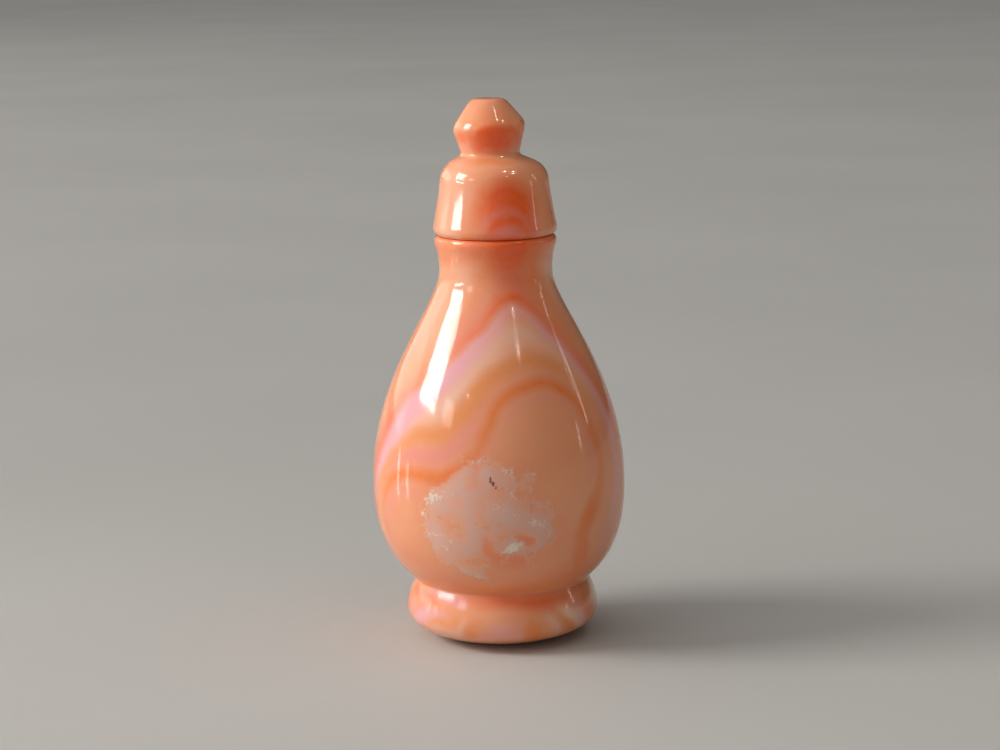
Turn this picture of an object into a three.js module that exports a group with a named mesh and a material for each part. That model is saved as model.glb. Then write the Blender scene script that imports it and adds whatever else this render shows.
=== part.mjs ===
// A small footed snuff bottle of marbled glass, turned about one upright axis, with a bell-shaped lid that lifts off.
// The glass is hollow. A plain spigot round the mouth stands up inside the lid, and the lid's rim rests on the bottle's
// seat. Millimetres, +Z up. The origin is on the table, under the belly's axis.

import * as THREE from 'three';

// Foot: a rounded roll that stands on a flat ring, with a shallow hollow ground into its underside
const grooveRadius = 12.85; // the groove between foot and belly
const footHeight = 9.0; // level of that groove
const footProud = 1.37; // how far the roll stands out past the groove
const footWidestHeight = 4.6;
const footRound = 7.3; // width of the rounded lower edge, outside the flat ring
const ringWidth = 2.3;
const recessDepth = 0.5;
const footOffset = 0.3; // the foot sits this far to the right of the belly's axis

// Belly, neck and rim
const bellyRadius = 18.7;
const bellyRise = 14.4; // from the groove up to the widest level
const bellyTuck = 0.75; // how far the lower belly is drawn in from a straight wall
const bellyWall = 2.6;
const baseThickness = 3.2; // glass above the groove, under the cavity's floor
const shoulderLength = 31.5; // from the widest level up to the narrowest of the neck
const collarLength = 4.4; // from there up to the bead that edges the rim
const beadProud = 0.66; // how far the bead stands out past the neck
const rimRoundHeight = 0.8;
const rimRoundWidth = 0.74;

// Mouth and the spigot round it
const mouthRadius = 3.8;
const spigotWall = 1.8;
const spigotHeight = 7.6; // above the seat
const spigotEdge = 0.3; // small bevel on the spigot's top edges, and the fillet at its root
const seatWidth = 3.36; // from the spigot out to the bead

// Lid
const lidClearance = 0.35; // between spigot and bore, all round
const lidHeadroom = 1.2; // between the spigot's top and the bore's ceiling
const lidOverhang = 0.12; // the lid's rim is this much wider than the bottle's
const lidRimRound = 1.35; // height of the rounded edge at the lid's rim
const skirtWall = 2.05; // at the skirt's narrow upper end
const crownThickness = 3.05; // from the bore's ceiling up to where the knob starts
const crownRise = 3.85; // height of the rounded crown between skirt and knob
const boreCorner = 0.9; // rounding where the bore meets its ceiling
const boreLeadIn = 0.2; // bevel at the bore's mouth, over what clears the fillet at the spigot's root

// Knob: two cones that meet in a soft ridge, cut flat on top
const waistRadius = 4.33;
const ridgeRadius = 5.4; // where the two cones would meet in a sharp edge
const lowerConeHeight = 4.2;
const upperConeHeight = 3.85;
const knobTopRadius = 2.45;
const ridgeRound = 0.85; // height on each side of the ridge that is rounded
const topRound = 0.8;
const waistFillet = 0.6;
const knobOffset = -0.45; // the knob sits this far to the left of the lid's axis
const knobLean = -0.3; // and its flat top this much further
const ridgeTilt = 3.9; // degrees, the ridge runs lower on the left

// How full the curves are, as shares of their own height
const lowerFullness = 0.28;
const bellyTurn = 0.32;
const upperFullness = 0.51;
const neckFlare = 0.16;

// Facets
const turnSteps = 40;
const longSteps = 13;
const roundSteps = 6;
const edgeSteps = 3;

// Sizes that follow from those above
const bellyHeight = footHeight + bellyRise;
const neckHeight = bellyHeight + shoulderLength;
const beadHeight = neckHeight + collarLength;
const seatHeight = beadHeight + rimRoundHeight;
const footRadius = grooveRadius + footProud;
const ringRadius = footRadius - footRound;
const spigotRadius = mouthRadius + spigotWall;
const rimRadius = spigotRadius + seatWidth;
const seatRadius = rimRadius - rimRoundWidth;
const neckRadius = rimRadius - beadProud;
const boreRadius = spigotRadius + lidClearance;
const boreDepth = spigotHeight + lidHeadroom;
const lidRimRadius = rimRadius + lidOverhang;
const skirtRadius = boreRadius + skirtWall;
const waistHeight = boreDepth + crownThickness;
const skirtTop = waistHeight - crownRise;
const ridgeHeight = waistHeight + lowerConeHeight;
const lidHeight = ridgeHeight + upperConeHeight;

// A point of a turned outline: distance from the axis, and height
const at = ( radius, height ) => new THREE.Vector2( radius, height );

// A curve from the first point to the last that leans towards the points between
function curve( steps, ...points ) {

	const Kind = points.length === 3 ? THREE.QuadraticBezierCurve : THREE.CubicBezierCurve;
	return new Kind( ...points ).getPoints( steps );

}

// The point a given height above a, on the straight line from a to b
function along( a, b, height ) {

	return a.clone().lerp( b, height / Math.abs( b.y - a.y ) );

}

// Turns an outline that starts and ends on the axis into a closed solid round Z
function turned( ...stretches ) {

	const outline = stretches.flat().filter( ( p, i, all ) => i === 0 || p.distanceTo( all[ i - 1 ] ) > 1e-6 );
	return new THREE.LatheGeometry( outline, turnSteps ).rotateX( Math.PI / 2 );

}

// Moves each point of a geometry by the offset that a rule gives for it
function nudge( geometry, rule ) {

	const position = geometry.attributes.position;
	const point = new THREE.Vector3();
	for ( let i = 0; i < position.count; i ++ ) {

		point.fromBufferAttribute( position, i );
		point.add( rule( point ) );
		position.setXYZ( i, point.x, point.y, point.z );

	}

	return geometry;

}

// The foot and its flat ring, from the middle of the underside out and up to the groove
function footOutline() {

	const ringInner = ringRadius - ringWidth;
	const ring = at( ringRadius, 0 );
	const widest = at( footRadius, footWidestHeight );
	const groove = at( grooveRadius, footHeight );
	const upper = footHeight - footWidestHeight;
	return [
		...curve( edgeSteps, at( 0, recessDepth ), at( ringInner * 0.7, recessDepth ), at( ringInner, 0 ) ),
		...curve( roundSteps, ring, at( ringRadius + footRound * 0.7, footWidestHeight * 0.26 ),
			at( footRadius, footWidestHeight * 0.48 ), widest ),
		...curve( roundSteps - 1, widest, at( footRadius, footWidestHeight + upper * 0.4 ),
			at( grooveRadius + footProud * 0.35, footHeight - upper * 0.25 ), groove ),
	];

}

// The outside of the belly, the neck and the bead, from the groove up to the seat
function bellyOutline() {

	const widest = at( bellyRadius, bellyHeight );
	const neck = at( neckRadius, neckHeight );
	const bead = at( rimRadius, beadHeight );
	return [
		...curve( roundSteps + 2, at( grooveRadius, footHeight ),
			at( bellyRadius - bellyTuck, footHeight + bellyRise * lowerFullness ),
			at( bellyRadius, bellyHeight - bellyRise * bellyTurn ), widest ),
		...curve( longSteps, widest, at( bellyRadius, bellyHeight + shoulderLength * upperFullness ),
			at( neckRadius, neckHeight - shoulderLength * neckFlare ), neck ),
		...curve( roundSteps - 1, neck, at( neckRadius, neckHeight + collarLength * 0.75 ),
			at( rimRadius, beadHeight - collarLength * 0.2 ), bead ),
		...curve( edgeSteps, bead, at( rimRadius, seatHeight ), at( seatRadius, seatHeight ) ),
	];

}

// The spigot, from its root on the seat, over its top and down to the mouth's inner edge
function spigotOutline() {

	const top = seatHeight + spigotHeight;
	return [
		at( spigotRadius + spigotEdge, seatHeight ),
		at( spigotRadius, seatHeight + spigotEdge ),
		at( spigotRadius, top - spigotEdge ),
		at( spigotRadius - spigotEdge, top ),
		at( mouthRadius + spigotEdge, top ),
		at( mouthRadius, top - spigotEdge ),
	];

}

// The cavity, from the lower end of the mouth's bore down to the middle of the floor
function cavityOutline() {

	const floor = footHeight + baseThickness;
	const inner = at( bellyRadius - bellyWall, bellyHeight );
	const bore = at( mouthRadius, neckHeight - bellyWall );
	const rise = bore.y - inner.y;
	const drop = inner.y - floor;
	return [
		...curve( longSteps - 3, bore, at( bore.x, bore.y - rise * neckFlare ),
			at( inner.x, inner.y + rise * upperFullness ), inner ),
		...curve( roundSteps + 1, inner, at( inner.x, inner.y - drop * 0.65 ), at( inner.x * 0.74, floor ), at( 0, floor ) ),
	];

}

// The lid's bore, from the middle of its ceiling down to its mouth
function boreOutline() {

	const ceiling = at( boreRadius, boreDepth );
	const bevel = spigotEdge + boreLeadIn;
	return [
		at( 0, boreDepth ),
		...curve( edgeSteps, at( boreRadius - boreCorner, boreDepth ), ceiling, at( boreRadius, boreDepth - boreCorner ) ),
		at( boreRadius, bevel ),
		at( boreRadius + bevel, 0 ),
	];

}

// The outside of the lid's skirt and crown, up to the knob's waist
function skirtOutline() {

	const widest = at( lidRimRadius, lidRimRound );
	const top = at( skirtRadius, skirtTop );
	const taper = lidRimRadius - skirtRadius;
	const length = skirtTop - lidRimRound;
	const crown = skirtRadius - waistRadius;
	const crownEnd = at( waistRadius + waistFillet, waistHeight - waistFillet * 0.7 );
	return [
		...curve( edgeSteps + 1, at( seatRadius, 0 ), at( lidRimRadius - 0.2, lidRimRound * 0.18 ),
			at( lidRimRadius + 0.08, lidRimRound * 0.55 ), widest ),
		...curve( roundSteps - 2, widest, at( lidRimRadius - taper * 0.42, lidRimRound + length * 0.34 ),
			at( skirtRadius + taper * 0.2, skirtTop - length * 0.31 ), top ),
		...curve( roundSteps, top, at( skirtRadius - crown * 0.05, skirtTop + crownRise * 0.47 ),
			at( skirtRadius - crown * 0.35, skirtTop + crownRise * 0.7 ), crownEnd ),
		...curve( edgeSteps, crownEnd, at( waistRadius, waistHeight - waistFillet * 0.3 ),
			at( waistRadius, waistHeight + waistFillet * 0.5 ) ),
	];

}

// The knob, from its waist up to the middle of its flat top
function knobOutline() {

	const waist = at( waistRadius, waistHeight );
	const ridge = at( ridgeRadius, ridgeHeight );
	const corner = at( knobTopRadius, lidHeight );
	return [
		...curve( edgeSteps + 1, along( ridge, waist, ridgeRound ), ridge, along( ridge, corner, ridgeRound ) ),
		...curve( edgeSteps, along( corner, ridge, topRound ), corner, at( knobTopRadius - topRound, lidHeight ) ),
		at( 0, lidHeight ),
	];

}

// Sets the foot a little to the right, blended out over the lower belly
function footShift( point ) {

	const share = 1 - THREE.MathUtils.smoothstep( point.z, footHeight, bellyHeight );
	return new THREE.Vector3( footOffset * share, 0, 0 );

}

// Sets the knob a little to the left, leans the lid above its skirt, and tilts the knob's ridge between a level waist
// and a level top
function knobShift( point ) {

	const share = THREE.MathUtils.smoothstep( point.z, waistHeight - crownThickness * 0.6, waistHeight );
	const lean = Math.max( 0, point.z - skirtTop ) / ( lidHeight - skirtTop );
	const below = ( point.z - waistHeight ) / lowerConeHeight;
	const above = ( lidHeight - point.z ) / upperConeHeight;
	const tilt = Math.max( 0, Math.min( below, above, 1 ) );
	const slope = Math.tan( THREE.MathUtils.degToRad( ridgeTilt ) );
	return new THREE.Vector3( knobOffset * share + knobLean * lean, 0, point.x * slope * tilt );

}

const glass = { roughness: 0.12, metalness: 0 };

const bottle = new THREE.Mesh(
	nudge( turned( footOutline(), bellyOutline(), spigotOutline(), cavityOutline() ), footShift ),
	new THREE.MeshStandardMaterial( { color: 0xdf9272, ...glass } )
);
bottle.name = 'bottle';

const lid = new THREE.Mesh(
	nudge( turned( boreOutline(), skirtOutline(), knobOutline() ), knobShift ),
	new THREE.MeshStandardMaterial( { color: 0xe08a62, ...glass } )
);
lid.name = 'lid';
lid.position.z = seatHeight;

const snuffBottle = new THREE.Group();
snuffBottle.add( bottle, lid );

export default snuffBottle;
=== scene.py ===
"""A small footed snuff bottle of marbled opaque glass, with its bell-shaped lid, on a pale floor.

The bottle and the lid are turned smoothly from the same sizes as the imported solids. The marbling is laid on
as named bands, each a few points of angle and height round the glass, and the materials turn those bands
into colour. Lengths are in millimetres, apart from those that a comment gives in metres.
"""

import math

import bpy
import numpy as np
from mathutils import Matrix, Vector


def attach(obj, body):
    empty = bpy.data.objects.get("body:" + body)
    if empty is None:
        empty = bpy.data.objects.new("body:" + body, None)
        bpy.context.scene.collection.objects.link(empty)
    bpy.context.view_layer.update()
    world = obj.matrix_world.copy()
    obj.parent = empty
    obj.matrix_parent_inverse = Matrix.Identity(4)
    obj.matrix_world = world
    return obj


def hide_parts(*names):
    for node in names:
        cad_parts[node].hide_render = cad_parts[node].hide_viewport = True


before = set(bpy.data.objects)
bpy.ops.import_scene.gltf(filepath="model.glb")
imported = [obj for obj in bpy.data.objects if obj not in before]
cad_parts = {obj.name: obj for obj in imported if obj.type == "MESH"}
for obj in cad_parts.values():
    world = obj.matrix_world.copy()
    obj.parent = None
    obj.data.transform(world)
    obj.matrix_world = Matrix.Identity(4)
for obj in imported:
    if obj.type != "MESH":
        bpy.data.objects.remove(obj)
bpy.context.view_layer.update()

MM = 0.001

# Foot
GROOVE_RADIUS = 12.85
FOOT_HEIGHT = 9.0
FOOT_PROUD = 1.37
FOOT_WIDEST_HEIGHT = 4.6
FOOT_ROUND = 7.3
RING_WIDTH = 2.3
RECESS_DEPTH = 0.5
FOOT_OFFSET = 0.3

# Belly, neck and rim
BELLY_RADIUS = 18.7
BELLY_RISE = 14.4
BELLY_TUCK = 0.75
BELLY_WALL = 2.6
BASE_THICKNESS = 3.2
SHOULDER_LENGTH = 31.5
COLLAR_LENGTH = 4.4
BEAD_PROUD = 0.66
RIM_ROUND_HEIGHT = 0.8
RIM_ROUND_WIDTH = 0.74

# Mouth and spigot
MOUTH_RADIUS = 3.8
SPIGOT_WALL = 1.8
SPIGOT_HEIGHT = 7.6
SPIGOT_EDGE = 0.3
SEAT_WIDTH = 3.36

# Lid
LID_CLEARANCE = 0.35
LID_HEADROOM = 1.2
LID_OVERHANG = 0.12
LID_RIM_ROUND = 1.35
SKIRT_WALL = 2.05
CROWN_THICKNESS = 3.05
CROWN_RISE = 3.85
BORE_CORNER = 0.9
BORE_LEAD_IN = 0.2

# Knob
WAIST_RADIUS = 4.33
RIDGE_RADIUS = 5.4
LOWER_CONE_HEIGHT = 4.2
UPPER_CONE_HEIGHT = 3.85
KNOB_TOP_RADIUS = 2.45
RIDGE_ROUND = 0.85
TOP_ROUND = 0.8
WAIST_FILLET = 0.6
KNOB_OFFSET = -0.45
KNOB_LEAN = -0.3
RIDGE_TILT = 3.9

# How full the curves are
LOWER_FULLNESS = 0.28
BELLY_TURN = 0.32
UPPER_FULLNESS = 0.51
NECK_FLARE = 0.16

# Sizes that follow
BELLY_HEIGHT = FOOT_HEIGHT + BELLY_RISE
NECK_HEIGHT = BELLY_HEIGHT + SHOULDER_LENGTH
BEAD_HEIGHT = NECK_HEIGHT + COLLAR_LENGTH
SEAT_HEIGHT = BEAD_HEIGHT + RIM_ROUND_HEIGHT
FOOT_RADIUS = GROOVE_RADIUS + FOOT_PROUD
RING_RADIUS = FOOT_RADIUS - FOOT_ROUND
SPIGOT_RADIUS = MOUTH_RADIUS + SPIGOT_WALL
RIM_RADIUS = SPIGOT_RADIUS + SEAT_WIDTH
SEAT_RADIUS = RIM_RADIUS - RIM_ROUND_WIDTH
NECK_RADIUS = RIM_RADIUS - BEAD_PROUD
BORE_RADIUS = SPIGOT_RADIUS + LID_CLEARANCE
BORE_DEPTH = SPIGOT_HEIGHT + LID_HEADROOM
LID_RIM_RADIUS = RIM_RADIUS + LID_OVERHANG
SKIRT_RADIUS = BORE_RADIUS + SKIRT_WALL
WAIST_HEIGHT = BORE_DEPTH + CROWN_THICKNESS
SKIRT_TOP = WAIST_HEIGHT - CROWN_RISE
RIDGE_HEIGHT = WAIST_HEIGHT + LOWER_CONE_HEIGHT
LID_HEIGHT = RIDGE_HEIGHT + UPPER_CONE_HEIGHT

# Fineness of the turned meshes: steps round, and the length of a step along what shows and what is hidden
BOTTLE_TURN = 300
BOTTLE_STEP = 0.31
LID_TURN = 260
LID_STEP = 0.24
HIDDEN_STEP = 1.2

# Hand grinding: how far it leaves the glass from true, and the heights between which that sets in
BOTTLE_FINISH = 0.035
LID_FINISH = 0.02
FINISH_STARTS = 0.2
FINISH_FULL = 3.0


# Outlines: rows of distance from the axis and height

def bezier(*points, steps=60):
    """Points along a Bezier curve with three or four control points."""
    t = np.linspace(0, 1, steps + 1)[:, None]
    p = np.array(points, float)
    if len(p) == 3:
        return (1 - t) ** 2 * p[0] + 2 * t * (1 - t) * p[1] + t ** 2 * p[2]
    return ((1 - t) ** 3 * p[0] + 3 * t * (1 - t) ** 2 * p[1]
            + 3 * t ** 2 * (1 - t) * p[2] + t ** 3 * p[3])


def along(a, b, height):
    """The point a given height from a, on the straight line from a to b."""
    a, b = np.array(a, float), np.array(b, float)
    return a + (b - a) * height / abs(b[1] - a[1])


def spaced(stretches, step):
    """Joins stretches into one outline and spaces its points evenly."""
    line = np.vstack(stretches)
    length = np.r_[0, np.cumsum(np.hypot(*np.diff(line, axis=0).T))]
    count = max(2, round(length[-1] / step))
    where = np.linspace(0, length[-1], count + 1)
    return np.stack([np.interp(where, length, line[:, 0]), np.interp(where, length, line[:, 1])], 1)


def underside_outline():
    ring_inner = RING_RADIUS - RING_WIDTH
    return spaced([
        bezier((0, RECESS_DEPTH), (ring_inner * 0.7, RECESS_DEPTH), (ring_inner, 0)),
        [(RING_RADIUS, 0)],
    ], HIDDEN_STEP / 2)


def foot_outline():
    widest = (FOOT_RADIUS, FOOT_WIDEST_HEIGHT)
    groove = (GROOVE_RADIUS, FOOT_HEIGHT)
    upper = FOOT_HEIGHT - FOOT_WIDEST_HEIGHT
    return spaced([
        bezier((RING_RADIUS, 0), (RING_RADIUS + FOOT_ROUND * 0.7, FOOT_WIDEST_HEIGHT * 0.26),
               (FOOT_RADIUS, FOOT_WIDEST_HEIGHT * 0.48), widest),
        bezier(widest, (FOOT_RADIUS, FOOT_WIDEST_HEIGHT + upper * 0.4),
               (GROOVE_RADIUS + FOOT_PROUD * 0.35, FOOT_HEIGHT - upper * 0.25), groove),
    ], BOTTLE_STEP)


def belly_outline():
    groove = (GROOVE_RADIUS, FOOT_HEIGHT)
    widest = (BELLY_RADIUS, BELLY_HEIGHT)
    neck = (NECK_RADIUS, NECK_HEIGHT)
    bead = (RIM_RADIUS, BEAD_HEIGHT)
    return spaced([
        bezier(groove, (BELLY_RADIUS - BELLY_TUCK, FOOT_HEIGHT + BELLY_RISE * LOWER_FULLNESS),
               (BELLY_RADIUS, BELLY_HEIGHT - BELLY_RISE * BELLY_TURN), widest),
        bezier(widest, (BELLY_RADIUS, BELLY_HEIGHT + SHOULDER_LENGTH * UPPER_FULLNESS),
               (NECK_RADIUS, NECK_HEIGHT - SHOULDER_LENGTH * NECK_FLARE), neck, steps=120),
        bezier(neck, (NECK_RADIUS, NECK_HEIGHT + COLLAR_LENGTH * 0.75),
               (RIM_RADIUS, BEAD_HEIGHT - COLLAR_LENGTH * 0.2), bead),
    ], BOTTLE_STEP)


def rim_outline():
    return spaced([
        bezier((RIM_RADIUS, BEAD_HEIGHT), (RIM_RADIUS, SEAT_HEIGHT), (SEAT_RADIUS, SEAT_HEIGHT)),
    ], BOTTLE_STEP / 2)


def spigot_outline():
    top = SEAT_HEIGHT + SPIGOT_HEIGHT
    return spaced([
        [(SPIGOT_RADIUS + SPIGOT_EDGE, SEAT_HEIGHT), (SPIGOT_RADIUS, SEAT_HEIGHT + SPIGOT_EDGE),
         (SPIGOT_RADIUS, top - SPIGOT_EDGE), (SPIGOT_RADIUS - SPIGOT_EDGE, top),
         (MOUTH_RADIUS + SPIGOT_EDGE, top), (MOUTH_RADIUS, top - SPIGOT_EDGE)],
    ], SPIGOT_EDGE * 1.4)


def cavity_outline():
    floor = FOOT_HEIGHT + BASE_THICKNESS
    inner = (BELLY_RADIUS - BELLY_WALL, BELLY_HEIGHT)
    bore = (MOUTH_RADIUS, NECK_HEIGHT - BELLY_WALL)
    rise = bore[1] - inner[1]
    drop = inner[1] - floor
    return spaced([
        bezier(bore, (bore[0], bore[1] - rise * NECK_FLARE),
               (inner[0], inner[1] + rise * UPPER_FULLNESS), inner),
        bezier(inner, (inner[0], inner[1] - drop * 0.65), (inner[0] * 0.74, floor), (0, floor)),
    ], HIDDEN_STEP)


def bore_outline():
    bevel = SPIGOT_EDGE + BORE_LEAD_IN
    return spaced([
        [(0, BORE_DEPTH)],
        bezier((BORE_RADIUS - BORE_CORNER, BORE_DEPTH), (BORE_RADIUS, BORE_DEPTH),
               (BORE_RADIUS, BORE_DEPTH - BORE_CORNER)),
        [(BORE_RADIUS, bevel), (BORE_RADIUS + bevel, 0)],
    ], HIDDEN_STEP / 2)


def skirt_outline():
    widest = (LID_RIM_RADIUS, LID_RIM_ROUND)
    top = (SKIRT_RADIUS, SKIRT_TOP)
    taper = LID_RIM_RADIUS - SKIRT_RADIUS
    length = SKIRT_TOP - LID_RIM_ROUND
    crown = SKIRT_RADIUS - WAIST_RADIUS
    crown_end = (WAIST_RADIUS + WAIST_FILLET, WAIST_HEIGHT - WAIST_FILLET * 0.7)
    return spaced([
        bezier((SEAT_RADIUS, 0), (LID_RIM_RADIUS - 0.2, LID_RIM_ROUND * 0.18),
               (LID_RIM_RADIUS + 0.08, LID_RIM_ROUND * 0.55), widest),
        bezier(widest, (LID_RIM_RADIUS - taper * 0.42, LID_RIM_ROUND + length * 0.34),
               (SKIRT_RADIUS + taper * 0.2, SKIRT_TOP - length * 0.31), top),
        bezier(top, (SKIRT_RADIUS - crown * 0.05, SKIRT_TOP + CROWN_RISE * 0.47),
               (SKIRT_RADIUS - crown * 0.35, SKIRT_TOP + CROWN_RISE * 0.7), crown_end),
        bezier(crown_end, (WAIST_RADIUS, WAIST_HEIGHT - WAIST_FILLET * 0.3),
               (WAIST_RADIUS, WAIST_HEIGHT + WAIST_FILLET * 0.5)),
    ], LID_STEP)


def knob_outline():
    waist = (WAIST_RADIUS, WAIST_HEIGHT)
    ridge = (RIDGE_RADIUS, RIDGE_HEIGHT)
    corner = (KNOB_TOP_RADIUS, LID_HEIGHT)
    return spaced([
        [(WAIST_RADIUS, WAIST_HEIGHT + WAIST_FILLET * 0.5)],
        bezier(along(ridge, waist, RIDGE_ROUND), ridge, along(ridge, corner, RIDGE_ROUND)),
        bezier(along(corner, ridge, TOP_ROUND), corner, (KNOB_TOP_RADIUS - TOP_ROUND, LID_HEIGHT)),
        [(0, LID_HEIGHT)],
    ], LID_STEP)


def joined(*parts):
    """One outline from several, without the points that two of them share."""
    kept = [parts[0]]
    for part in parts[1:]:
        same = np.allclose(part[0], kept[-1][-1], atol=1e-6)
        kept.append(part[1:] if same else part)
    return np.vstack(kept)


# The glass as turned meshes

def smoothstep(x, low, high):
    t = np.clip((x - low) / (high - low), 0, 1)
    return t * t * (3 - 2 * t)


def foot_shift(p):
    """The foot stands a little to the right of the belly's axis."""
    share = 1 - smoothstep(p[:, 2], FOOT_HEIGHT, BELLY_HEIGHT)
    p[:, 0] += FOOT_OFFSET * share


def knob_shift(p):
    """The knob sits a little to the left of the lid's axis and leans that way, and its ridge is tilted."""
    share = smoothstep(p[:, 2], WAIST_HEIGHT - CROWN_THICKNESS * 0.6, WAIST_HEIGHT)
    lean = np.maximum(0, p[:, 2] - SKIRT_TOP) / (LID_HEIGHT - SKIRT_TOP)
    below = (p[:, 2] - WAIST_HEIGHT) / LOWER_CONE_HEIGHT
    above = (LID_HEIGHT - p[:, 2]) / UPPER_CONE_HEIGHT
    tilt = np.clip(np.minimum(below, above), 0, 1)
    p[:, 2] += p[:, 0] * math.tan(math.radians(RIDGE_TILT)) * tilt
    p[:, 0] += KNOB_OFFSET * share + KNOB_LEAN * lean


def hand_finish(angle, height):
    """How far hand grinding leaves the outside from true, as a share of the largest amount."""
    return (np.sin(2 * angle + 0.08 * height + 0.6) * 0.5 + np.sin(3 * angle - 0.21 * height + 2.1) * 0.3
            + np.sin(0.55 * height + angle + 1.0) * 0.2)


def half_turn(degrees):
    """The same angle between -180 and 180."""
    return (degrees + 180) % 360 - 180


class Turned:
    """A closed mesh turned round Z from an outline that starts and ends on the axis.

    It keeps the angle, distance from the axis, height and length along the outline of each of its points,
    and whether the point is on the outside, which the marbling is laid on by.
    """

    def __init__(self, name, outline, turns, level, shift, shown, finish):
        ring = outline[1:-1]
        angle = np.arange(turns) * 2 * math.pi / turns
        radius, turn = np.meshgrid(ring[:, 0], angle, indexing="ij")
        height = np.repeat(ring[:, 1], turns).reshape(radius.shape)
        outside = np.zeros(len(ring), bool)
        outside[shown[0] - 1:shown[1] - 1] = True
        uneven = finish * hand_finish(turn, height) * smoothstep(height, FINISH_STARTS, FINISH_FULL)
        radius = radius + uneven * outside[:, None]
        points = np.stack([radius * np.sin(turn), -radius * np.cos(turn), height], 2).reshape(-1, 3)
        points = np.vstack([points, [(0, 0, outline[0, 1]), (0, 0, outline[-1, 1])]])
        shift(points)
        points[:, 2] += level
        self.angle = half_turn(np.r_[np.degrees(turn).ravel(), 0, 0])
        self.radius = np.r_[radius.ravel(), 0, 0]
        self.height = np.r_[height.ravel(), outline[0, 1], outline[-1, 1]] + level
        steps = np.r_[0, np.cumsum(np.hypot(*np.diff(outline, axis=0).T))]
        self.run = np.r_[np.repeat(steps[1:-1], turns), 0, steps[-1]]
        self.outside = np.r_[np.repeat(outside, turns), False, outside[-1]]
        shown_rows = outline[shown[0]:shown[1]]
        order = np.argsort(shown_rows[:, 1], kind="stable")
        self.level_of_run = (shown_rows[order, 1] + level, steps[shown[0]:shown[1]][order])
        self.object = self.build(name, points, len(ring), turns)

    def build(self, name, points, rings, turns):
        low = np.arange(turns)
        high = (low + 1) % turns
        faces = []
        for r in range(rings - 1):
            a, b = r * turns, (r + 1) * turns
            faces.extend(np.stack([a + low, a + high, b + high, b + low], 1).tolist())
        first, last = rings * turns, rings * turns + 1
        faces.extend([first, int(h), int(l)] for l, h in zip(low, high))
        top = (rings - 1) * turns
        faces.extend([last, int(top + l), int(top + h)] for l, h in zip(low, high))
        mesh = bpy.data.meshes.new(name)
        mesh.from_pydata((points * MM).tolist(), [], faces)
        mesh.polygons.foreach_set("use_smooth", [True] * len(mesh.polygons))
        mesh.update()
        piece = bpy.data.objects.new(name, mesh)
        bpy.context.scene.collection.objects.link(piece)
        return piece

    def paint(self, name, values):
        """Keeps one value for each point of the mesh, for the material to read."""
        layer = self.object.data.attributes.new(name, "FLOAT", "POINT")
        layer.data.foreach_set("value", values.astype(np.float32))


def make_bottle():
    hidden_foot = underside_outline()
    shown = [foot_outline(), belly_outline(), rim_outline()]
    outline = joined(hidden_foot, *shown, spigot_outline(), cavity_outline())
    start = len(hidden_foot) - 1
    end = start + sum(len(s) for s in shown) - 2
    return Turned("bottle_glass_body", outline, BOTTLE_TURN, 0, foot_shift, (start, end), BOTTLE_FINISH)


def make_lid():
    bore = bore_outline()
    outline = joined(bore, skirt_outline(), knob_outline())
    shown = (len(bore), len(outline))
    return Turned("lid_glass_body", outline, LID_TURN, SEAT_HEIGHT, knob_shift, shown, LID_FINISH)


# Marbling: bands of colour along curves of angle and height

def linear(*levels):
    """A screen colour of 0 to 255 as linear light."""
    return tuple(((level / 255 + 0.055) / 1.055) ** 2.4 for level in levels) + (1.0,)


PEACH = linear(238, 165, 122)
# Painted in this order, so a later colour lies over an earlier one
TINTS = {
    "salmon": linear(234, 136, 102),
    "rose": linear(234, 148, 132),
    "cream": linear(238, 188, 164),
    "ivory": linear(240, 212, 170),
    "lilac": linear(234, 172, 180),
    "gold": linear(232, 148, 88),
    "amber": linear(236, 131, 66),
    "orange": linear(240, 100, 36),
    "blush": linear(236, 136, 118),
}
FILM = linear(222, 182, 170)
CRUMB = linear(236, 224, 208)
SPECK = linear(120, 40, 28)

# How far the bands' edges wander
BAND_SWAY = 0.16


def smooth_line(points, per_span=10):
    """A Catmull-Rom curve through rows of numbers."""
    p = np.array(points, float)
    p = np.vstack([2 * p[0] - p[1], p, 2 * p[-1] - p[-2]])
    t = np.linspace(0, 1, per_span, endpoint=False)[:, None]
    rows = []
    for a, b, c, d in zip(p, p[1:], p[2:], p[3:]):
        rows.append(0.5 * (2 * b + (c - a) * t + (2 * a - 5 * b + 4 * c - d) * t ** 2
                           + (3 * b - a - 3 * c + d) * t ** 3))
    rows.append(p[-2:-1])
    return np.vstack(rows)


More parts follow.
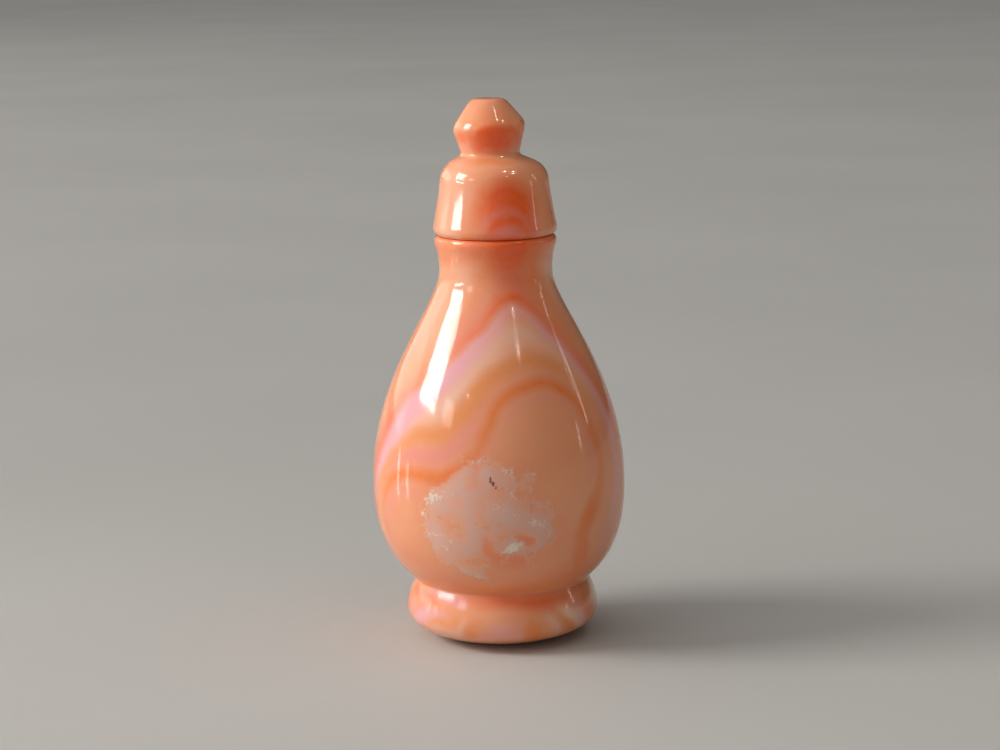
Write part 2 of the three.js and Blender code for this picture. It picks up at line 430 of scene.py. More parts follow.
class Band:
    """A band of one colour: points are (angle, height, width) or (angle, height, width, strength).

    Angles are degrees round the glass, 0 in front and positive to the right. The soft distances are how far
    the colour takes to fade on the band's left and right, walking along its points.
    """

    def __init__(self, colour, points, soft, soft_right=None):
        self.colour = colour
        self.line = smooth_line([tuple(p) + (1.0,) * (4 - len(p)) for p in points])
        self.soft_left = soft
        self.soft_right = soft if soft_right is None else soft_right

    def cover(self, turned, angle, run):
        """How much of each point of the glass the band covers, 0 to 1."""
        level, level_run = turned.level_of_run
        line_run = np.interp(self.line[:, 1], level, level_run)
        reach = self.line[:, 2].max() / 2 + max(self.soft_left, self.soft_right)
        per_degree = np.maximum(turned.radius, 1.0) * math.radians(1)
        best = np.full(len(angle), 1e9)
        cover = np.zeros(len(angle))
        for (a, b), ahead, behind in zip(zip(self.line, self.line[1:]), line_run, line_run[1:]):
            off_turn = np.abs(half_turn(angle - (a[0] + b[0]) / 2)) - abs(b[0] - a[0]) / 2
            off_run = np.abs(run - (ahead + behind) / 2) - abs(behind - ahead) / 2
            near = np.flatnonzero((off_run < reach) & (off_turn * per_degree < reach) & turned.outside)
            degree = per_degree[near]
            ax = half_turn(a[0] - angle[near]) * degree
            ay = ahead - run[near]
            dx = (b[0] - a[0]) * degree
            dy = behind - ahead
            t = np.clip(-(ax * dx + ay * dy) / np.maximum(dx * dx + dy * dy, 1e-9), 0, 1)
            px, py = ax + t * dx, ay + t * dy
            distance = np.hypot(px, py)
            width = a[2] + (b[2] - a[2]) * t
            strength = a[3] + (b[3] - a[3]) * t
            soft = np.where(px * dy - py * dx > 0, self.soft_left, self.soft_right)
            here = np.clip(0.5 + (width / 2 - distance) / soft, 0, 1) * strength
            nearer = distance < best[near]
            best[near[nearer]] = distance[nearer]
            cover[near[nearer]] = here[nearer]
        return cover


def nest(centre, top, reach, depth, strength=1.0):
    """A nest of soft arches like the one in front: orange outside, lilac and gold within."""
    def arch(colour, drop, spread, width, soft, point, strong):
        rows = []
        for share in np.linspace(-1, 1, 13):
            fall = abs(share) ** point
            sway = 1.6 * math.sin(2.4 * share + centre) + 0.8 * math.sin(5.1 * share - centre)
            angle = centre + share * reach * spread + sway
            height = top - drop - depth * fall * (0.8 + 0.2 * share * spread) + 0.5 * sway
            fade = 1 - 0.7 * abs(share) ** 3
            rows.append((angle, height, width * (1 - 0.2 * fall), strong * strength * fade))
        return Band(colour, rows, soft)

    return [
        arch("orange", 0.0, 1.0, 1.7, 1.9, 1.75, 0.8),
        arch("lilac", 2.6, 0.93, 2.2, 2.2, 1.8, 0.8),
        arch("cream", 6.0, 0.8, 3.2, 2.8, 1.9, 0.65),
        arch("gold", 9.2, 0.68, 2.2, 2.0, 2.1, 0.9),
        arch("amber", 12.6, 0.52, 1.6, 1.5, 2.3, 0.95),
    ]


# What the photograph shows of the belly and the neck
FRONT_BANDS = [
    # outer pointed arch: a soft orange line, clearest at its tip
    Band("orange", [
        (-34, 42.8, 1, 0.12), (-28, 44.4, 1.2, 0.4), (-20, 46.5, 1.4, 0.55), (-10, 48.9, 1.5, 0.62),
        (0, 50.7, 1.5, 0.75), (9, 51.8, 1.6, 0.9), (17, 52.1, 1.8, 0.95), (26, 51.4, 1.6, 0.85),
        (35, 49.9, 1.6, 0.65), (44, 47.8, 1.8, 0.5), (53, 45.2, 2, 0.42), (62, 41.8, 2.2, 0.4),
        (70, 37.2, 2.4, 0.4), (76, 31.5, 2.6, 0.45), (78, 25.5, 2.6, 0.5), (76, 19.5, 2.6, 0.5),
        (72, 14, 2.4, 0.5),
    ], 1.9, 1.5),
    # the salmon band that goes round the left lobe, with a redder line in it
    Band("salmon", [
        (-44, 41, 1.6, 0.3), (-52, 39, 2.6, 0.7), (-60, 36.2, 3.4, 0.9), (-67, 33, 3.6),
        (-73, 29.4, 3.6), (-78, 25.5, 3.4), (-82, 20, 3.2, 0.8), (-84, 14, 3, 0.6),
    ], 2.4),
    Band("orange", [
        (-54, 37.8, 0.7, 0.15), (-63, 34.2, 1.1, 0.32), (-70, 30.4, 1.3, 0.35), (-75, 26.5, 1.3, 0.3),
    ], 1.6),
    # lilac under the arch, broad and clear on the left, a thin pink line on the right
    Band("lilac", [
        (-78, 22.6, 1.4, 0.5), (-70, 27.2, 2.4, 0.8), (-60, 32, 3, 0.95), (-50, 35.8, 3.4),
        (-40, 38.8, 3.4), (-30, 40.8, 3), (-20, 43.4, 2.6, 0.9), (-10, 46.2, 2.4, 0.75),
        (0, 48.4, 2.2, 0.62), (10, 50, 1.9, 0.5), (20, 50.3, 1.8, 0.5), (30, 49.1, 1.8, 0.5),
        (40, 46.9, 1.9, 0.55), (50, 43.8, 2, 0.55), (58, 40.4, 2, 0.55), (64, 36.6, 2, 0.6),
        (68, 32.6, 2, 0.65), (69.5, 28.6, 1.9, 0.6), (67, 24, 1.8, 0.5), (62, 19.4, 2.2, 0.4),
        (58, 15.6, 2.2, 0.25),
    ], 2),
    # cream between the lilac and the golden arch
    Band("cream", [
        (-64, 29.4, 1.2, 0.4), (-56, 32, 1.8, 0.6), (-46, 34.6, 2.4, 0.8), (-36, 36.4, 3, 0.95),
        (-28, 37.4, 3.2), (-21, 39.8, 3.4, 0.95), (-12, 43, 3.6, 0.8), (-2, 45.2, 3.6, 0.75),
        (8, 46.6, 3.6, 0.75), (18, 47, 3.4, 0.7), (28, 46.3, 2.8, 0.6), (38, 44.6, 2, 0.5),
        (46, 42.4, 1.4, 0.4), (54, 38.6, 1.2, 0.3),
    ], 2.6),
    # second arch, golden, with a second lobe on the left
    Band("gold", [
        (-70, 23.6, 0.9, 0.3), (-64, 26.4, 1.2, 0.45), (-57, 29.2, 1.5, 0.5), (-50, 31.3, 1.6, 0.6),
        (-42, 32.9, 1.7, 0.9), (-33, 33.2, 1.8), (-26, 33.7, 2.4), (-20, 35.6, 3.2), (-13, 38.2, 3.4),
        (-6, 40.6, 2.8), (2, 42, 2.3), (12, 42.9, 2), (22, 43.2, 1.9), (32, 42.7, 1.7, 0.9),
        (41, 41.4, 1.5, 0.75), (48, 39.2, 1.2, 0.5), (53, 36.2, 1, 0.3),
    ], 1.8),
    # pink between the second and third arches, hardly there on the right
    Band("rose", [
        (-62, 26, 0.9, 0.4), (-54, 28.4, 1.8, 0.7), (-45, 29.9, 2.2, 0.85), (-34, 30.2, 2.4, 0.85),
        (-24, 31, 2.4, 0.8), (-16, 33.4, 2.2, 0.7), (-11, 36.2, 1.9, 0.6), (-4, 38.9, 1.6, 0.45),
        (6, 40.7, 1.4, 0.35), (18, 41.5, 1.2, 0.35), (30, 41.2, 1.2, 0.35), (40, 39.8, 1, 0.3),
    ], 1.6),
    # third arch, amber, with the lower line of the left lobe running into it
    Band("amber", [
        (-64, 17, 1, 0.35), (-66, 20.4, 1.1, 0.5), (-62, 24, 1.3, 0.7), (-55, 26, 1.5, 0.9),
        (-46, 27.1, 1.7), (-36, 27.3, 2), (-27, 27.3, 2), (-20, 28.6, 1.5), (-12, 30.4, 1.2, 0.9),
    ], 1.5, 1.2),
    Band("amber", [
        (-11, 28, 1, 0.5), (-9, 31, 1.3, 0.8), (-6, 34.2, 1.5, 0.9), (-1, 37.2, 1.6), (7, 39.1, 1.6),
        (16, 39.9, 1.6), (26, 40.1, 1.6), (35, 39.3, 1.5), (42, 37.8, 1.5, 0.9), (48, 35, 1.4, 0.8),
        (52, 31.4, 1.3, 0.65), (53, 27.6, 1.5, 0.5), (50, 24.2, 2, 0.6), (45, 21.2, 2.6, 0.9),
        (41, 18.4, 2.8, 0.75), (42, 14.4, 3, 0.65), (46, 10.6, 3, 0.7),
    ], 1.5, 1.2),
    Band("rose", [
        (-4, 32, 0.8, 0.3), (0, 35, 1, 0.35), (8, 37.2, 1, 0.35), (20, 38.2, 1, 0.35),
        (32, 37.8, 1, 0.35), (42, 35.4, 1.2, 0.4), (47, 31, 1.8, 0.4), (47, 27, 1.6, 0.3),
    ], 1.8),
    # salmon and pink inside and under the left lobe
    Band("rose", [
        (-66, 13, 1.6, 0.4), (-63, 19, 2, 0.5), (-58, 22.6, 2.2, 0.6), (-49, 24.4, 2.2, 0.6),
        (-40, 24.4, 1.8, 0.4),
    ], 2.4),
    Band("salmon", [(-62, 12, 4, 0.35), (-48, 14.6, 6, 0.35), (-34, 12, 5, 0.35), (-18, 10.4, 3, 0.4)], 4),
    # deeper amber just above the foot, stronger towards the right
    Band("amber", [
        (-28, 9.4, 2.6, 0.2), (-10, 9.8, 3.6, 0.45), (10, 10, 4.4, 0.5), (30, 10.6, 5, 0.55),
        (50, 11.2, 5, 0.6), (68, 12, 4.6, 0.5),
    ], 4),
    # what the sticker's bare places show
    Band("orange", [
        (-7, 18.2, 1.2, 0.3), (-5, 16.4, 1.8, 0.4), (2, 15.2, 2.2, 0.35), (10, 15, 1.8, 0.3),
    ], 1.8),
    Band("orange", [(9, 18.8, 0.8, 0.4), (13, 18.2, 1.2, 0.45)], 1),
    # the neck's orange core, paler towards both sides
    Band("orange", [(14, 61.5, 9.2), (14, 58.8, 8), (15, 56.6, 5.8, 0.8), (17, 55.2, 4, 0.4)], 3.6),
    Band("amber", [
        (38, 60.5, 3, 0.4), (38, 57.5, 3.4, 0.75), (41, 55, 3.4, 0.8), (47, 52.2, 3, 0.5),
        (55, 48.6, 2.8, 0.35), (64, 45, 2.6, 0.3),
    ], 2.6),
    Band("amber", [
        (-7, 60, 3, 0.4), (-9, 56.4, 3, 0.45), (-16, 53.8, 2.4, 0.45), (-23, 51, 2.2, 0.4),
        (-30, 48, 2, 0.35),
    ], 2.4),
    Band("salmon", [
        (0, 53, 2.2, 0.6), (9, 54.3, 3.2, 0.9), (19, 54.5, 3.4), (30, 53, 2.6, 0.7), (40, 50.8, 1.8, 0.5),
    ], 2.2),
    Band("rose", [
        (-12, 51.6, 2, 0.5), (-22, 48.7, 2.4, 0.6), (-31, 45.6, 2.6, 0.6), (-39, 43, 2.6, 0.5),
        (-48, 41.6, 2, 0.3),
    ], 2.2),
    Band("cream", [(-28, 61, 3.6, 0.4), (-32, 56.5, 4.6, 0.45), (-42, 52, 5, 0.4), (-54, 46, 5, 0.4)], 4),
    Band("cream", [(60, 60, 3, 0.45), (64, 55, 3.6, 0.5), (68, 50, 3.4, 0.35), (72, 45, 3, 0.25)], 3),
    # the rim is painted paler than the neck under it: a painted reflection of the window on the bead's curve,
    # which also lightens the shade of the seam under the lid
    Band("ivory", [
        (-120, 59.4, 2, 0.5), (-80, 59.3, 2.6, 0.95), (-44, 59.3, 2.6, 0.95), (-18, 59.4, 1.6, 0.4),
    ], 1.6),
    Band("ivory", [
        (44, 59.4, 1.6, 0.3), (60, 59.3, 2.2, 0.7), (80, 59.3, 2.4, 0.8), (120, 59.4, 2, 0.5),
    ], 1.6),
]

# The sides and the back, which no photograph shows, in keeping with the front
BACK_BANDS = [
    *nest(128, 49.5, 40, 27),
    *nest(-136, 44.0, 44, 22),
    *nest(-176, 57.0, 20, 12, 0.8),
    Band("salmon", [(104, 52, 2, 0.5), (98, 44, 3, 0.8), (96, 34, 3.4, 0.8), (98, 22, 3, 0.6)], 2.6),
    Band("salmon", [(-92, 50, 2, 0.5), (-94, 42, 3, 0.8), (-92, 33, 3.2, 0.8), (-90, 22, 3, 0.5)], 2.6),
    Band("gold", [
        (-112, 20, 1.4, 0.6), (-128, 15, 1.8, 0.7), (-148, 14, 1.8, 0.6), (-168, 18, 1.2, 0.4),
    ], 1.8),
    Band("gold", [
        (96, 14, 1.2, 0.4), (116, 12.6, 1.8, 0.7), (140, 14.4, 1.8, 0.7), (160, 20, 1.2, 0.4),
    ], 1.8),
    Band("orange", [(178, 61.5, 6, 0.8), (-178, 58.4, 4.6, 0.6), (-176, 55.6, 3, 0.3)], 3.4),
    Band("amber", [
        (84, 11, 4, 0.4), (120, 10.2, 3.6, 0.45), (160, 10, 3.6, 0.4), (-160, 10, 3.6, 0.4),
        (-120, 10.2, 3.6, 0.4), (-86, 10.6, 3, 0.3),
    ], 3.6),
]

# The foot, where the bands are cut across and lie as patches
FOOT_BANDS = [
    # a painted red shadow round its top, where the belly overhangs it, broken by lilac on the left
    Band("orange", [
        (-24, 8.4, 0.8, 0.3), (-14, 8.2, 1.4, 0.55), (0, 8, 1.8, 0.7), (16, 7.8, 2, 0.75),
        (32, 7.8, 1.9, 0.7), (46, 7.9, 1.5, 0.45), (58, 8.2, 1, 0.25),
    ], 1.8),
    Band("lilac", [
        (-52, 8.6, 1, 0.5), (-44, 8.3, 1.4, 0.8), (-34, 8, 1.4, 0.85), (-24, 7.7, 1.2, 0.6),
    ], 1.2),
    Band("salmon", [
        (-84, 5, 3, 0.8), (-74, 7.6, 2, 0.8), (-62, 7.9, 1.4), (-52, 7.3, 1.1), (-44, 6.9, 0.8, 0.5),
    ], 1.2),
    # patches from left to right
    Band("rose", [(-74, 5.4, 2, 0.6), (-64, 5.6, 2.2, 0.7), (-55, 6.6, 1.2, 0.6)], 1.6),
    Band("lilac", [(-66, 3.6, 1.6, 0.7), (-58, 4.6, 2), (-49, 5.2, 1.6, 0.8), (-38, 5.6, 1, 0.5)], 1.6),
    Band("cream", [(-50, 3.4, 2, 0.5), (-38, 3.2, 2.4, 0.6), (-27, 3, 2.2, 0.7), (-24, 4.6, 1.6, 0.5)], 1.6),
    Band("gold", [(-50, 3.9, 0.9, 0.5), (-42, 4.3, 1.2, 0.8), (-34, 4.2, 1, 0.6), (-27, 5.2, 0.8, 0.4)], 1),
    Band("gold", [(-24, 2, 1.6, 0.7), (-20, 3.6, 1.8, 0.95), (-15, 4.8, 1.4, 0.6)], 1.4),
    Band("lilac", [
        (-12, 2.6, 1.8, 0.3), (-4, 3.7, 2.4, 0.42), (5, 3.4, 2.4, 0.42), (11, 2.4, 1.6, 0.3),
    ], 1.8),
    Band("gold", [(14, 5.6, 1, 0.4), (18, 4, 2.4), (21, 2.4, 2.6), (30, 1.6, 2, 0.7)], 1.3),
    Band("amber", [
        (17, 4.2, 1.2, 0.5), (20, 2.6, 1.4, 0.6), (12, 1.4, 1.2, 0.5), (-6, 1.2, 1, 0.5), (-24, 1, 1, 0.4),
    ], 1.4),
    Band("cream", [(28, 5.6, 1.2, 0.5), (32, 4.4, 1.6, 0.7), (35, 3, 1.4, 0.5)], 1.2),
    Band("ivory", [(37, 6.8, 1, 0.5), (42, 6, 1.8, 0.7), (48, 5, 2.2, 0.75), (54, 3.6, 2, 0.6)], 1.3),
    Band("lilac", [(43, 6.6, 1.2, 0.3), (49, 5.6, 1.6, 0.5), (54, 4.4, 1.8, 0.55), (57, 3, 1.4, 0.5)], 1.4),
    Band("gold", [
        (36, 5, 1, 0.7), (40, 4, 1.4, 0.95), (46, 3, 1.7, 1), (53, 2.2, 1.5, 0.9), (60, 1.8, 1.2, 0.6),
    ], 1.1),
    Band("salmon", [(60, 7, 1.6, 0.6), (64, 5, 1.8, 0.6), (67, 3.2, 1.4, 0.5)], 1.4),
    Band("ivory", [(72, 8.6, 2, 0.5), (77, 7.2, 3.2, 0.85), (83, 5.6, 4), (86, 3.2, 3, 0.8)], 2.2),
    # patches round the back
    *[Band(colour, [(a, 7.4, 1.6, 0.5), (a + 8, 4.6, width, 0.9), (a + 12, 1.6, width * 0.8, 0.7)], 1.6)
      for colour, a, width in (("orange", 100, 2.4), ("lilac", 116, 3.0), ("gold", 134, 3.0),
                               ("cream", 152, 3.4), ("amber", 170, 2.8), ("lilac", -176, 2.4),
                               ("gold", -156, 3.4), ("rose", -138, 3.6), ("ivory", -120, 3.0),
                               ("amber", -104, 3.0))],
    # painted red shadow round the foot's top under the belly, in places round the back
    *[Band("orange", [(a - 16, 8.3, 1, 0.3), (a, 8, 1.6, 0.6), (a + 16, 8.3, 1, 0.3)], 1.6)
      for a in (118, 166, -142)],
]

# The lid's orange cloud with the pink arcs in it, and the knob
SEAM = SEAT_HEIGHT
LID_BANDS = [
    Band("orange", [
        (-15, 62.8, 2.2, 0.5), (-9, 64.9, 3, 0.85), (1, 66.2, 3.4), (12, 66.6, 3.6), (24, 66.2, 3.4),
        (33, 64.9, 2.8, 0.85), (37, 62.6, 2, 0.4),
    ], 2.4, 1.6),
    Band("orange", [(10, SEAM, 6.4, 0.95), (11, 62.4, 7.2), (12, 65, 7.2)], 2.4),
    # painted shadow: a thin orange line along the lid's lower edge, where the seam between lid and rim lies
    # in shade
    Band("orange", [
        (-30, SEAM, 0.8, 0.5), (0, SEAM, 1, 0.8), (34, SEAM, 0.9, 0.7), (60, SEAM, 0.7, 0.4),
    ], 1.2),
    Band("amber", [
        (-24, 61, 2.6, 0.5), (-21, 63.8, 2.4, 0.5), (-16, 66.4, 2.2, 0.4), (-4, 68.6, 1.8, 0.4),
        (14, 69.2, 1.6, 0.4), (30, 68.2, 1.6, 0.4), (42, 66, 2, 0.35),
    ], 2.4),
    Band("blush", [
        (-15, 61, 1, 0.4), (-10, 62.5, 1.1, 0.6), (-4, 63.6, 1.1, 0.6), (5, 64.2, 1.1, 0.55),
        (14, 64.2, 1.1, 0.55), (23, 63.8, 1, 0.5), (30, 62.8, 1, 0.45), (35, 61.4, 1, 0.4),
    ], 1.1),
    Band("blush", [
        (-2, 60.6, 1.4, 0.6), (5, 61.3, 1.6, 0.8), (13, 61.5, 1.7, 0.85), (21, 61.2, 1.5, 0.7),
        (27, 60.6, 1.2, 0.5),
    ], 1),
    Band("orange", [
        (25, 65, 2.6, 0.9), (30, 63.6, 2.8, 0.85), (32, 61.8, 2.6, 0.8), (32, 60.6, 2.4, 0.8),
    ], 1.8),
    Band("orange", [(-6, 64, 1.6, 0.8), (-8, 62, 1.4, 0.6), (-7, 60.8, 1.4, 0.6)], 1.6),
    Band("rose", [(38, 65.4, 1, 0.4), (40, 63.4, 1.2, 0.6), (41, 61.4, 1.2, 0.6)], 1.2),
    Band("rose", [(-34, 67.6, 1.6, 0.3), (-31, 65, 2, 0.35), (-32, 61.8, 2, 0.3)], 1.8),
    Band("cream", [(-56, 61, 6, 0.5), (-54, 66, 6, 0.5), (-58, 70, 4, 0.45)], 5),
    Band("cream", [(-24, 62, 1.6, 0.35), (-24, 67, 1.8, 0.35)], 2.4),
    # the knob: pale on its upper left; its lower cone orange, partly the glass's own colour and partly
    # painted shade where the cone faces down
    Band("cream", [(-80, 74, 4, 0.5), (-56, 74, 3.6, 0.45), (-42, 74, 2.4, 0.3)], 2.4),
    Band("orange", [
        (-64, 73.4, 1.4, 0.2), (-36, 73.8, 2.4, 0.5), (-16, 74.1, 3.4, 0.9), (4, 74.4, 4.1),
        (22, 74.4, 3.9), (38, 74.3, 3.2, 0.85), (54, 74.2, 2.6, 0.5), (70, 74.2, 1.6, 0.2),
    ], 0.9, 1.7),
    Band("amber", [
        (-50, 75, 1.6, 0.4), (-20, 76.6, 2.2, 0.4), (8, 77.2, 3, 0.5), (34, 76.8, 2.4, 0.4),
        (60, 76, 1.6, 0.3),
    ], 2.2),
    Band("amber", [
        (-34, 71.2, 1.2, 0.4), (-12, 71.4, 1.8, 0.6), (8, 71.3, 1.6, 0.5), (26, 71, 1.2, 0.3),
    ], 1.6),
    # the sides and the back
    *[Band("orange", [(a - 16, 62, 1.6, 0.5), (a - 6, 65.2, 3, 0.85), (a + 6, 65.6, 3, 0.85),
                      (a + 18, 61.8, 1.6, 0.5)], 2.4) for a in (128, -122)],
    *[Band("blush", [(a - 14, 61, 0.9, 0.6), (a - 4, 63.4, 1.1, 0.7), (a + 6, 63.5, 1.1, 0.7),
                     (a + 16, 61, 0.9, 0.6)], 1) for a in (128, -122)],
    Band("lilac", [(160, 68, 1.6, 0.3), (172, 65, 2.6, 0.6), (178, 61.6, 2.4, 0.5)], 2.4),
    Band("gold", [(-84, 66, 2, 0.4), (-80, 62.4, 2.4, 0.5)], 2.4),
    Band("orange", [(150, 74, 2.2, 0.5), (178, 74.6, 2.8, 0.8), (-154, 74.4, 2, 0.5)], 1.6),
]


def most(turned, bands, angle, run):
    """The strongest cover of any of the bands at each point of the glass."""
    cover = np.zeros(len(angle))
    for band in bands:
        cover = np.maximum(cover, band.cover(turned, angle, run))
    return cover


def marble(turned, bands):
    """Works out each colour's cover of the glass, with the bands' edges drawn slightly wavy."""
    a, h = np.radians(turned.angle), turned.height
    sway = np.sin(5 * a + 0.5 * h) + np.sin(9 * a - 0.8 * h + 1.3) * 0.6 + np.sin(2.1 * h + 3 * a) * 0.35
    lift = (np.sin(7 * a + 0.3 * h + 2.0) + np.sin(13 * a + 0.6 * h) * 0.5
            + np.sin(1.7 * h - 4 * a + 0.7) * 0.4)
    angle = turned.angle + BAND_SWAY * sway / (np.maximum(turned.radius, 2) * math.radians(1))
    run = turned.run + BAND_SWAY * lift
    for colour in TINTS:
        cover = most(turned, [band for band in bands if band.colour == colour], angle, run)
        turned.paint(colour, cover * turned.outside)


# The pale round mark that a sticker left

FILM_ANGLE = -5.0
FILM_HEIGHT = 20.9
FILM_WIDTH = 19.3
FILM_TALL = 18.4
FILM_EDGE = 3.0
# How thick it is all over, how much thicker and thinner in its patches, and the thinnest and thickest of all
FILM_PLAIN = 0.8
FILM_THICKER = 0.45
FILM_THINNER = 0.6
FILM_LEAST = -0.6
FILM_MOST = 1.3
NO_FILM = -1.0


def patches(*rows):
    """Bands without a colour, from rows of points and how soft the edge is."""
    return [Band(None, points, soft) for points, soft in rows]


# Where the mark is thicker and greyer
THICK_FILM = patches(
    ([(-33, 24, 2.4, 0.8), (-34, 21, 2.2, 0.8), (-33, 17.6, 2.6, 1), (-28, 15.4, 2.4, 0.9)], 1.4),
    ([(-30, 24.2, 2.2, 0.6), (-22, 25.2, 2.4, 0.6), (-15, 25, 2.6, 0.7), (-7, 24.4, 2.6, 0.6)], 2.2),
    ([(-16, 27.2, 2.4, 0.6), (-11, 28.8, 1.8, 0.6), (-7, 28.6, 1.4, 0.5)], 1.6),
    ([(-8, 24, 2.6, 0.5), (0, 22.8, 2.8, 0.8), (8, 21.8, 2.2, 0.5)], 2.2),
    ([(-14, 23, 2.4, 0.5), (-13, 20, 2.2, 0.5), (-15, 17.6, 1.8, 0.4)], 1.8),
    ([(-29, 17, 2.8, 0.9), (-18, 16.6, 2.8, 0.7)], 1.8),
    ([(14, 20.6, 2.2, 0.5), (20, 20.2, 2.4, 0.7), (24, 18.4, 1.6, 0.5)], 1.4),
    ([(12, 28.6, 1.6, 0.4), (17, 27.6, 1.4, 0.4)], 1),
    ([(0, 16.7, 1.2, 0.7), (8, 17.4, 1.6, 0.9)], 0.9),
    ([(-19, 13.2, 1.4, 0.7), (-12, 12.5, 1.2, 0.6), (-7, 12, 1, 0.4)], 1),
)

# Where the mark is thin or gone
BARE_FILM = patches(
    ([(6, 29.4, 1.4, 0.4), (10, 27.4, 2.4, 0.6), (8, 25.2, 2, 0.4)], 1.4),
    ([(2, 30.2, 1.2, 0.6), (10, 30.6, 1.6, 0.9), (18, 29.6, 1.2, 1)], 0.8),
    ([(11, 25.4, 1.8, 0.7), (17, 25.2, 2.2, 0.9), (24, 26.4, 4, 1), (31, 24.6, 2.4, 1)], 1.1),
    ([(15, 22.9, 1.2, 0.5), (19, 22.5, 0.8, 0.4)], 1),
    ([(27, 21.8, 0.8, 0.5), (28, 18, 1, 0.7)], 0.8),
    ([(-31, 21.6, 1.2, 0.4), (-24, 21, 2.2, 0.55), (-18, 19.8, 2, 0.5)], 1.3),
    ([(-30, 19, 0.8, 0.4), (-24, 18.8, 0.9, 0.4)], 0.7),
    ([(-7, 20.8, 2.6, 0.4), (0, 20, 2.4, 0.4), (6, 19.8, 1.4, 0.4)], 1.6),
    ([(-6, 18.2, 1.4, 0.8), (-4, 16.4, 2, 1), (1, 15.2, 2.6, 0.9), (9, 15, 2.2, 0.9)], 1),
    ([(-4, 13.6, 2.6, 0.9), (6, 13.2, 2.8, 1), (13, 13.4, 2, 0.8)], 1),
    ([(-9, 15, 1.8, 0.8), (-15, 14.9, 1.2, 0.8), (-21, 15, 0.6, 0.6)], 0.9),
    ([(8, 19.1, 0.8, 0.9), (11, 18.4, 1.4, 1), (15, 18, 1.2, 1)], 0.7),
    ([(16, 15.6, 2.2, 0.9), (24, 15.2, 3.4, 1)], 1),
    ([(-27, 12.6, 2.4, 1), (-22, 11.2, 2.4, 1), (-10, 10.4, 1.6, 1)], 0.8),
    ([(-22, 28.8, 1.4, 0.9), (-29, 27, 1.6, 0.9)], 0.7),
)

# Where crumbs of white paper are left
CRUST = patches(
    ([(-31, 25, 1, 0.5), (-34, 23.2, 1, 0.6), (-35.5, 20.6, 0.8, 0.5), (-34, 18.2, 0.8, 0.4)], 1),
    ([(-33, 23.6, 1.8, 0.6), (-28, 24.4, 1.6, 0.55), (-22, 25, 1, 0.35)], 1.4),
    ([(-34, 19, 0.6, 0.55), (-28, 18.9, 0.5, 0.5), (-23, 19, 0.4, 0.3)], 0.5),
    ([(-24, 18.2, 0.7, 0.8), (-22, 18, 0.5, 0.5)], 0.4),
    ([(-32, 16.9, 1.2, 0.4), (-26, 16.9, 1.4, 0.35)], 1.2),
    ([(2, 28.6, 0.8, 0.6), (5, 28.4, 0.9, 0.6), (6, 27.4, 0.7, 0.4)], 0.7),
    ([(-12, 29.8, 0.5, 0.4), (-6, 30, 0.5, 0.4)], 0.5),
    ([(13, 28.2, 0.8, 0.3), (17, 27.7, 0.8, 0.35)], 0.8),
    ([(0, 23.4, 2.4, 0.35), (7, 22, 1.8, 0.3)], 2),
    ([(4, 26.3, 0.7, 0.4), (8, 24.6, 0.7, 0.4)], 0.7),
    ([(15, 20.8, 1.4, 0.5), (20, 20.6, 1.6, 0.55), (23, 18.8, 1, 0.4)], 1),
    ([(1, 16.5, 0.6, 0.7), (4, 16.9, 1.2, 1), (7, 17.5, 1.5, 1.1), (9.5, 17.7, 0.9, 0.9)], 0.5),
    ([(-20, 13.8, 0.6, 0.55), (-15, 13, 0.9, 0.5), (-9, 12.2, 0.5, 0.5), (-5, 11.8, 0.4, 0.4)], 0.8),
    ([(11, 13.9, 0.6, 0.5), (13, 13.7, 0.5, 0.4)], 0.6),
)

# Where a torn edge leaves a dark line
TEARS = patches(
    ([(-3.6, 27.6, 0.25, 0.8), (-2.9, 26.9, 0.4, 1), (-1.4, 26.3, 0.3, 0.8), (0.6, 25.4, 0.16, 0.6)], 0.25),
    ([(9, 18.8, 0.2, 0.4), (11, 18.2, 0.2, 0.4)], 0.3),
    ([(20.6, 20.4, 0.2, 0.4), (22, 19.6, 0.2, 0.4)], 0.3),
)


def paint_film(turned):
    """How thick the mark is, below 0 where there is none, and where crumbs and torn edges are left on it."""
    def cover(bands):
        return most(turned, bands, turned.angle, turned.run)

    across = half_turn(turned.angle - FILM_ANGLE) * math.radians(1) * turned.radius
    level, level_run = turned.level_of_run
    up = turned.run - np.interp(FILM_HEIGHT, level, level_run)
    distance = np.hypot(across / FILM_WIDTH, up / FILM_TALL) * 2
    disc = np.clip(0.5 + (1 - distance) * FILM_WIDTH / 2 / FILM_EDGE, 0, 1)
    film = disc * FILM_PLAIN + FILM_THICKER * cover(THICK_FILM) * disc - FILM_THINNER * cover(BARE_FILM)
    film = np.clip(film, FILM_LEAST, FILM_MOST)
    turned.paint("film", np.where((disc > 0) & turned.outside, film, NO_FILM))
    turned.paint("crust", cover(CRUST) * turned.outside)
    turned.paint("tear", cover(TEARS) * turned.outside)


# Materials

# How the light goes into the milky glass: its share, how deep in metres, and how far red, green and blue go
MILK_SHARE = 0.7
MILK_DEPTH = 0.0014
MILK_REACH = (1.0, 0.5, 0.32)
GLASS_IOR = 1.5
BUMP_STRENGTH = 0.35
# In metres
BUMP_HEIGHT = 0.00012


